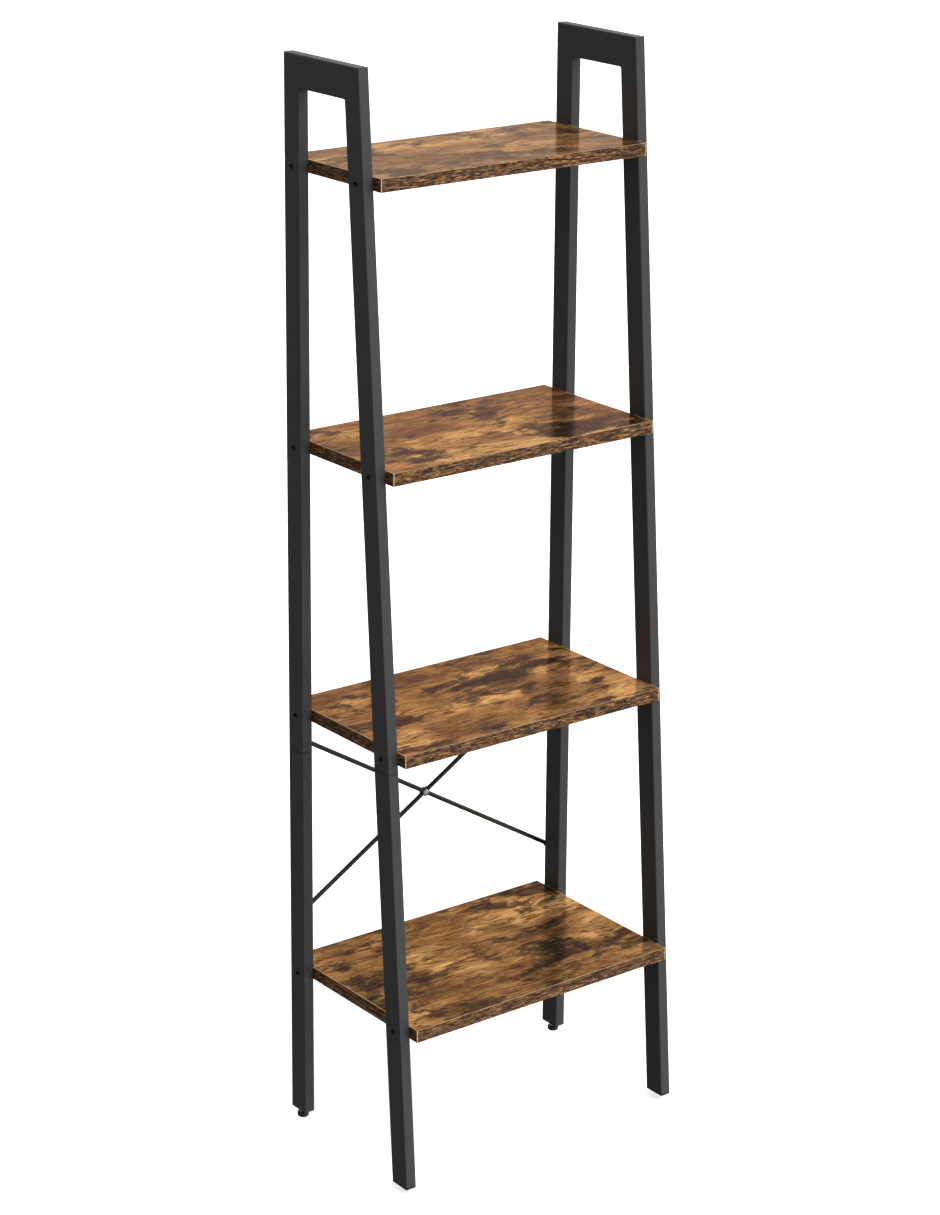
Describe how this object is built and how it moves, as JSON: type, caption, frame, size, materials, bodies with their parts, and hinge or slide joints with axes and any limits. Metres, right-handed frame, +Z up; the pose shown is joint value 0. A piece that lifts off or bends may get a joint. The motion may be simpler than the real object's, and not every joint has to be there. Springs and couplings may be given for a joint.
{
  "type": "ladder shelf",
  "caption": "Open ladder shelf: two tapering black tube side frames carry wood-effect boards that deepen downwards, with a crossed rod brace and levelling feet.",
  "frame": {"origin": "on the floor, at the centre of the footprint's bounding box", "axes": "+X to the viewer's right, +Y from the front to the wall side, +Z up"},
  "size_m": [0.4292, 0.2654, 1.375],
  "materials": {
    "powder_coat": "matte fine-textured powder coat",
    "wood_laminate": "satin rustic wood-effect laminate, grain along X",
    "wood_edging": "satin layered wood-effect edge strip",
    "black_plastic": "moulded matte black",
    "black_oxide": "satin black-coated steel",
    "zinc_plate": "bright zinc plating"
  },
  "bodies": {
    "frame": {"rear_upper_tube_left": "powder_coat", "rear_upper_tube_right": "powder_coat", "front_upper_tube_left": "powder_coat", "front_upper_tube_right": "powder_coat", "top_bar_left": "powder_coat", "top_bar_right": "powder_coat", "rear_lower_tube_left": "powder_coat", "rear_lower_tube_right": "powder_coat", "front_lower_tube_left": "powder_coat", "front_lower_tube_right": "powder_coat", "rear_sleeve_left": "powder_coat", "rear_sleeve_right": "powder_coat", "front_sleeve_left": "powder_coat", "front_sleeve_right": "powder_coat", "rear_plug_left": "black_plastic", "rear_plug_right": "black_plastic", "plug_insert_left": "zinc_plate", "plug_insert_right": "zinc_plate", "front_cap_left": "black_plastic", "front_cap_right": "black_plastic", "board_1": "wood_laminate", "board_2": "wood_laminate", "board_3": "wood_laminate", "board_4": "wood_laminate", "edge_strips_1": "wood_edging", "edge_strips_2": "wood_edging", "edge_strips_3": "wood_edging", "edge_strips_4": "wood_edging", "shelf_bolts_1": "black_oxide", "shelf_bolts_2": "black_oxide", "shelf_bolts_3": "black_oxide", "shelf_bolts_4": "black_oxide", "board_inserts_1": "zinc_plate", "board_inserts_2": "zinc_plate", "board_inserts_3": "zinc_plate", "board_inserts_4": "zinc_plate", "brace_rod_a": "powder_coat", "brace_rod_b": "powder_coat", "brace_end_screws": "black_oxide", "brace_cross_screw": "zinc_plate", "brace_cross_nut": "zinc_plate"},
    "foot_pad_left": {"foot_pad_left": "black_plastic"},
    "foot_stud_left": {"foot_stud_left": "zinc_plate"},
    "foot_pad_right": {"foot_pad_right": "black_plastic"},
    "foot_stud_right": {"foot_stud_right": "zinc_plate"}
  },
  "joints": [
    {"name": "foot_left_travel", "type": "slide", "parent": "frame", "child": "foot_pad_left", "axis": [0, 0, -1], "range_m": [-0.001, 0.008]},
    {"name": "foot_left_turn", "type": "hinge", "parent": "foot_pad_left", "child": "foot_stud_left", "pos_m": [-0.206, 0.10269, 0.008], "axis": [0, 0, -1], "range_deg": [-361, 2881]},
    {"name": "foot_right_travel", "type": "slide", "parent": "frame", "child": "foot_pad_right", "axis": [0, 0, -1], "range_m": [-0.001, 0.008]},
    {"name": "foot_right_turn", "type": "hinge", "parent": "foot_pad_right", "child": "foot_stud_right", "pos_m": [0.206, 0.10269, 0.008], "axis": [0, 0, -1], "range_deg": [-361, 2881]}
  ],
  "couplings": [
    {"joint": "foot_left_turn", "follows": "foot_left_travel", "rad_per_m": 6283.2},
    {"joint": "foot_right_turn", "follows": "foot_right_travel", "rad_per_m": 6283.2}
  ]
}
